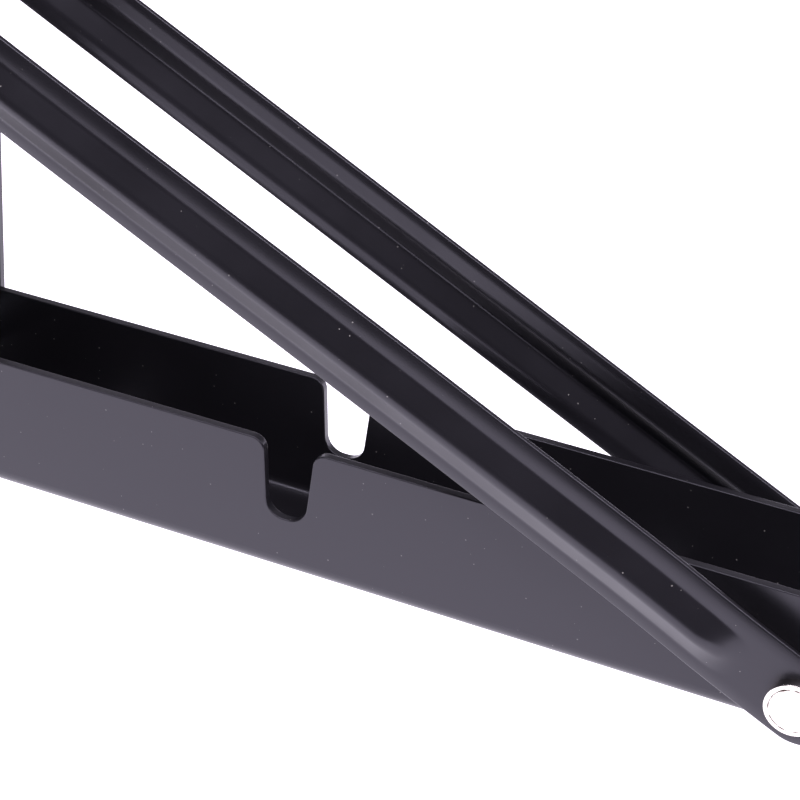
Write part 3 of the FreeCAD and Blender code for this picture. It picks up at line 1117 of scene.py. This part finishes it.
@dataclass
class Bracket:
    """The whole bracket, as its sub-assemblies."""

    assemblies: tuple[Assembly, ...] = (
        Assembly(
            Body.SHELF_ARM,
            {
                "shelf_arm": Slot.BLACK_COAT,
                "hinge_sleeve": Slot.ZINC_STEEL,
                "latch_spring": Slot.SPRING_STEEL,
            },
        ),
        Assembly(
            Body.WALL_ARM,
            {
                "wall_arm": Slot.BLACK_COAT,
                "pivot_sleeve": Slot.ZINC_STEEL,
                "pivot_washer_right": Slot.ZINC_STEEL,
                "pivot_washer_left": Slot.ZINC_STEEL,
            },
        ),
        Assembly(
            Body.BRACE,
            {"slide_collar_right": Slot.ZINC_STEEL, "slide_collar_left": Slot.ZINC_STEEL},
        ),
        Assembly(Body.SLIDE_PIN, {"slide_pin": Slot.ZINC_STEEL, "slide_sleeve": Slot.ZINC_STEEL}),
    )
    strips: tuple[PressedStrip, ...] = (
        PressedStrip("brace_strip_right_pressed", "brace_strip_right", bow=0.9 * MM),
        PressedStrip("brace_strip_left_pressed", "brace_strip_left", bow=0.0),
    )
    rivets: tuple[Rivets, ...] = (
        Rivets(
            "hinge_rivet_turned",
            Body.SHELF_ARM,
            Slot.NICKEL_RIVET,
            ("hinge_rivet",),
            Vector((0, 1, 0)),
            shank_radius=3.0 * MM,
            two_heads=True,
        ),
        Rivets(
            "pivot_rivet_turned",
            Body.WALL_ARM,
            Slot.NICKEL_RIVET,
            ("pivot_rivet",),
            Vector((0, 1, 0)),
            shank_radius=2.5 * MM,
            head_lift=STRIP_HEAD_LIFT,
            two_heads=True,
        ),
        Rivets(
            "slide_rivets_turned",
            Body.BRACE,
            Slot.NICKEL_RIVET,
            ("slide_rivet_right", "slide_rivet_left"),
            Vector((0, 1, 0)),
            shank_radius=3.0 * MM,
            head_lift=STRIP_HEAD_LIFT,
        ),
        Rivets(
            "latch_rivets_turned",
            Body.SHELF_ARM,
            Slot.ZINC_STEEL,
            ("latch_rivets",),
            Vector((0, 0, 1)),
            shank_radius=1.6 * MM,
            head_radius=3.0 * MM,
            head_height=1.2 * MM,
            bevel_width=0.8 * MM,
            bevel_drop=0.8 * MM,
            pitch=Vector((LATCH_RIVET_PITCH, 0, 0)),
        ),
    )

    def build(self) -> None:
        """Makes the finishes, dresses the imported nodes, presses the strips and turns the rivets."""
        makers: dict[Slot, Finish] = {
            Slot.BLACK_COAT: POWDER_COAT,
            Slot.NICKEL_RIVET: NICKEL_PLATE,
            Slot.ZINC_STEEL: ZINC_PLATE,
            Slot.SPRING_STEEL: SPRING_STEEL,
        }
        finishes = {slot: maker.material() for slot, maker in makers.items()}
        for assembly in self.assemblies:
            assembly.dress(finishes)
        for strip in self.strips:
            strip.build(finishes)
        shape = RivetShape()
        for rivets in self.rivets:
            rivets.build(shape, finishes)


@dataclass
class Studio:
    """A white light table under a softbox, with a dark card in front and a white one behind."""

    floor_half: float = 3.0
    floor_drop: float = 0.2 * MM
    floor_colour: str = "#99989a"
    floor_roughness: float = 0.8
    glow_colour: str = "#f7f1ff"
    floor_glow: float = 1.98
    sky_strength: float = 0.3
    sky_seen: float = 1.3
    front_distance: float = 0.18
    front_turn: float = math.radians(14.0)
    front_height: float = 0.23
    front_colour: str = "#2c2b2e"
    back_distance: float = 0.7
    back_height: float = 0.19
    back_glow: float = 2.2
    card_half: float = 0.6
    top_length: float = 1.3
    top_width: float = 0.16
    top_height: float = 0.6
    top_front: float = 0.26
    top_side: float = 0.22
    top_power: float = 7.0
    middle: Vector = field(default_factory=lambda: Vector((0.13, 0.0, 0.0)))

    def sheet(self, name: str, corners: Sequence[Sequence[float]]) -> bpy.types.Object:
        """Makes a flat stage panel.

        Args:
            name: The panel's name.
            corners: Its corners in order.

        Returns:
            The panel, marked as stage.
        """
        mesh = bpy.data.meshes.new(name)
        mesh.from_pydata([Vector(corner) for corner in corners], [], [tuple(range(len(corners)))])
        panel = bpy.data.objects.new(name, mesh)
        bpy.context.scene.collection.objects.link(panel)
        return panel

    def build(self) -> None:
        """Makes the floor, the two cards, the overhead softbox and the surround."""
        self.floor()
        front, back = -self.front_distance, self.back_distance
        self.card("dark_front", front, self.front_turn, self.front_height, self.front_colour, 0.0)
        self.card("white_back", back, 0.0, self.back_height, self.glow_colour, self.back_glow)
        self.softbox()
        self.surround()

    def floor(self) -> None:
        """A white light table: it glows, so that shadows on it stay faint."""
        half, down = self.floor_half, -self.floor_drop
        around = ((-half, -half), (half, -half), (half, half), (-half, half))
        panel = self.sheet("floor", [(x, y, down) for x, y in around])
        material, tree = new_material("white_light_table")
        shader = add_node(
            tree,
            "ShaderNodeBsdfPrincipled",
            inputs={
                "Base Color": linear(self.floor_colour),
                "Roughness": self.floor_roughness,
                "Emission Color": linear(self.glow_colour),
                "Emission Strength": self.floor_glow,
            },
        )
        add_node(tree, "ShaderNodeOutputMaterial", inputs={"Surface": shader.outputs["BSDF"]})
        panel.data.materials.append(material)

    def card(self, name: str, y: float, turn: float, top: float, colour: str, glow: float) -> None:
        """Stands a card across the stage, hidden from the camera.

        Args:
            name: The card's name.
            y: Where it stands.
            turn: How far it is turned about its upright middle line.
            top: Its height.
            colour: Its colour.
            glow: How strongly it glows.
        """
        middle = Vector((self.middle.x, y, 0.0))
        reach = Vector((math.cos(turn), math.sin(turn), 0.0)) * self.card_half
        left, right, up = middle - reach, middle + reach, Vector((0.0, 0.0, top))
        panel = self.sheet(name, [left, right, right + up, left + up])
        panel.visible_camera = False
        material, tree = new_material(f"{name}_board")
        shader = add_node(
            tree,
            "ShaderNodeBsdfPrincipled",
            inputs={
                "Base Color": linear(colour),
                "Roughness": 1.0,
                "Specular IOR Level": 0.0,
                "Emission Color": linear(colour),
                "Emission Strength": glow,
            },
        )
        add_node(tree, "ShaderNodeOutputMaterial", inputs={"Surface": shader.outputs["BSDF"]})
        panel.data.materials.append(material)

    def softbox(self) -> None:
        """A wide soft light overhead."""
        light = bpy.data.lights.new("top_softbox", "AREA")
        light.shape = "RECTANGLE"
        light.size = self.top_length
        light.size_y = self.top_width
        light.energy = self.top_power
        light.color = linear(self.glow_colour)[:3]
        lamp = bpy.data.objects.new("top_softbox", light)
        lamp.location = self.middle + Vector((self.top_side, -self.top_front, self.top_height))
        bpy.context.scene.collection.objects.link(lamp)

    def surround(self) -> None:
        """A surround that is white to look at and lights the bracket only a little."""
        world = bpy.data.worlds.new("white_surround")
        bpy.context.scene.world = world
        world.use_nodes = True
        tree = world.node_tree
        tree.nodes.clear()
        strength = add_node(
            tree,
            "ShaderNodeMapRange",
            inputs={
                "Value": add_node(tree, "ShaderNodeLightPath").outputs["Is Camera Ray"],
                "To Min": self.sky_strength,
                "To Max": self.sky_seen,
            },
        )
        background = add_node(
            tree,
            "ShaderNodeBackground",
            inputs={"Color": linear(self.glow_colour), "Strength": strength.outputs["Result"]},
        )
        add_node(tree, "ShaderNodeOutputWorld", inputs={"Surface": background.outputs["Background"]})


@dataclass
class PhotoCamera:
    """The camera at the photograph's angle, fitted to the bracket's edges in it. Angles are in degrees."""

    azimuth: float = 21.556
    elevation: float = 29.757
    roll: float = 4.5
    distance: float = 441.0 * MM
    target: Vector = field(default_factory=lambda: Vector((112.907 * MM, 0.0, 39.74 * MM)))
    focal_px: float = 2160.85
    frame_px: float = 800.0
    sensor_mm: float = 36.0
    clip_near: float = 0.01
    clip_far: float = 20.0

    def build(self) -> bpy.types.Object:
        """Makes the camera and looks through it.

        Returns:
            The camera.
        """
        turn, rise, roll = (math.radians(angle) for angle in (self.azimuth, self.elevation, self.roll))
        back = Vector((math.sin(turn) * math.cos(rise), -math.cos(turn) * math.cos(rise), math.sin(rise)))
        level = Vector((math.cos(turn), math.sin(turn), 0.0))
        upright = back.cross(level)
        right = level * math.cos(roll) + upright * math.sin(roll)
        up = upright * math.cos(roll) - level * math.sin(roll)
        lens = bpy.data.cameras.new("photo_camera")
        lens.sensor_width = self.sensor_mm
        lens.lens = self.focal_px / self.frame_px * self.sensor_mm
        lens.clip_start = self.clip_near
        lens.clip_end = self.clip_far
        camera = bpy.data.objects.new("photo_camera", lens)
        axes = Matrix((right, up, back)).transposed().to_4x4()
        camera.matrix_world = Matrix.Translation(self.target + back * self.distance) @ axes
        bpy.context.scene.collection.objects.link(camera)
        bpy.context.scene.camera = camera
        return camera


def main() -> None:
    """Builds the bracket, the studio and the camera."""
    logging.basicConfig(level=logging.INFO, format="%(name)s: %(message)s")
    bpy.context.scene.view_settings.view_transform = "Standard"
    Bracket().build()
    Studio().build()
    PhotoCamera().build()


if __name__ == "__main__":
    main()
